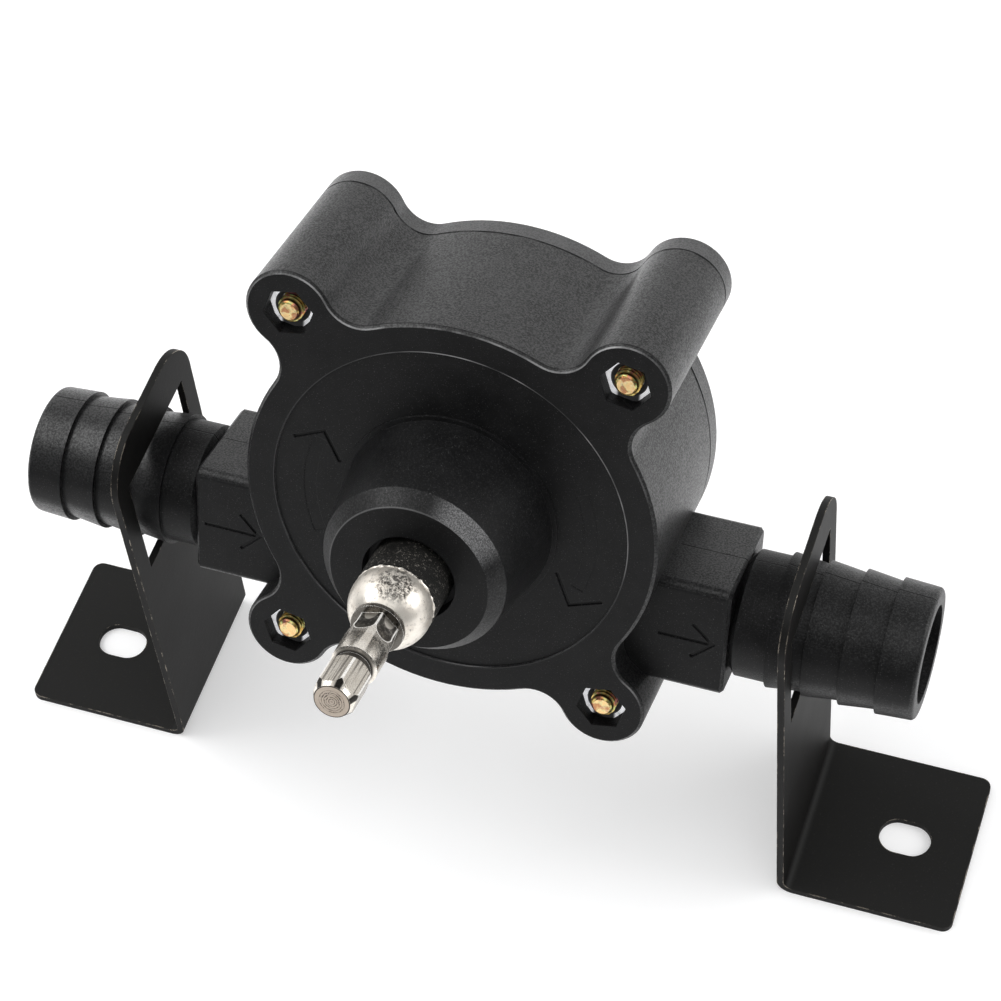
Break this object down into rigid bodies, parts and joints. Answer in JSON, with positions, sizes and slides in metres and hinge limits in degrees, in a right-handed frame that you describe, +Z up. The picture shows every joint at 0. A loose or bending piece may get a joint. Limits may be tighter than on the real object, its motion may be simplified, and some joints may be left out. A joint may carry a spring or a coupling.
{
  "type": "drill-driven transfer pump",
  "caption": "Black self-priming transfer pump with a steel hex drive shank in its front boss, a barbed hose tail on each side and two upright angle brackets.",
  "frame": {"origin": "on the floor plane midway between the two foot slots, below the hose axis", "axes": "+X along the hose line towards the outlet, -Y towards the drive shank, +Z up"},
  "size_m": [0.1704, 0.0931, 0.1158],
  "materials": {
    "black_plastic": "fine pebbled grain on the sides, smoother front",
    "nickel_steel": "bright nickel plate with milled flats",
    "dark_steel": "blackened",
    "bearing_steel": "ground",
    "zinc_steel": "bright zinc plate",
    "yellow_zinc": "yellow passivated zinc with a rainbow tint",
    "black_paint": "satin black paint",
    "rubber": "moulded",
    "brass": "turned",
    "bronze": "sintered",
    "cage_plastic": "natural nylon",
    "gasket_fibre": "pressed sheet",
    "washer_plastic": "low-friction sheet"
  },
  "bodies": {
    "housing": {"pump_casing": "black_plastic", "rear_cover": "black_plastic", "cover_gasket": "gasket_fibre", "cover_screws": "yellow_zinc", "lug_nuts": "zinc_steel", "bearing_outer_race": "bearing_steel", "bearing_shields": "rubber", "bearing_clip": "dark_steel", "seal_case": "bearing_steel", "seal_lip": "rubber", "seal_spring": "bearing_steel", "thrust_washer": "washer_plastic", "rear_bush": "bronze"},
    "rotor": {"drive_shaft": "nickel_steel", "shaft_sleeve": "dark_steel", "bearing_inner_race": "bearing_steel", "impeller": "rubber", "impeller_hub": "brass", "shaft_clip": "dark_steel"},
    "ball_train": {"bearing_balls": "bearing_steel", "bearing_cage": "cage_plastic"},
    "left_support": {"left_bracket": "black_paint"},
    "right_support": {"right_bracket": "black_paint"}
  },
  "joints": [
    {"name": "shaft_spin", "type": "hinge", "parent": "housing", "child": "rotor", "pos_m": [0, -0.00877, 0.08042], "axis": [0, 0.9426, -0.3338], "continuous": true},
    {"name": "ball_train_roll", "type": "hinge", "parent": "housing", "child": "ball_train", "pos_m": [0, -0.01952, 0.08422], "axis": [0, 0.9426, -0.3338], "continuous": true},
    {"name": "left_bracket_swing", "type": "hinge", "parent": "housing", "child": "left_support", "pos_m": [-0.0555, 0, 0.0595], "axis": [1, 0, 0], "continuous": true},
    {"name": "right_bracket_swing", "type": "hinge", "parent": "housing", "child": "right_support", "pos_m": [0.0555, 0, 0.0595], "axis": [1, 0, 0], "continuous": true}
  ],
  "couplings": [
    {"joint": "ball_train_roll", "follows": "shaft_spin", "ratio": 0.3693}
  ]
}
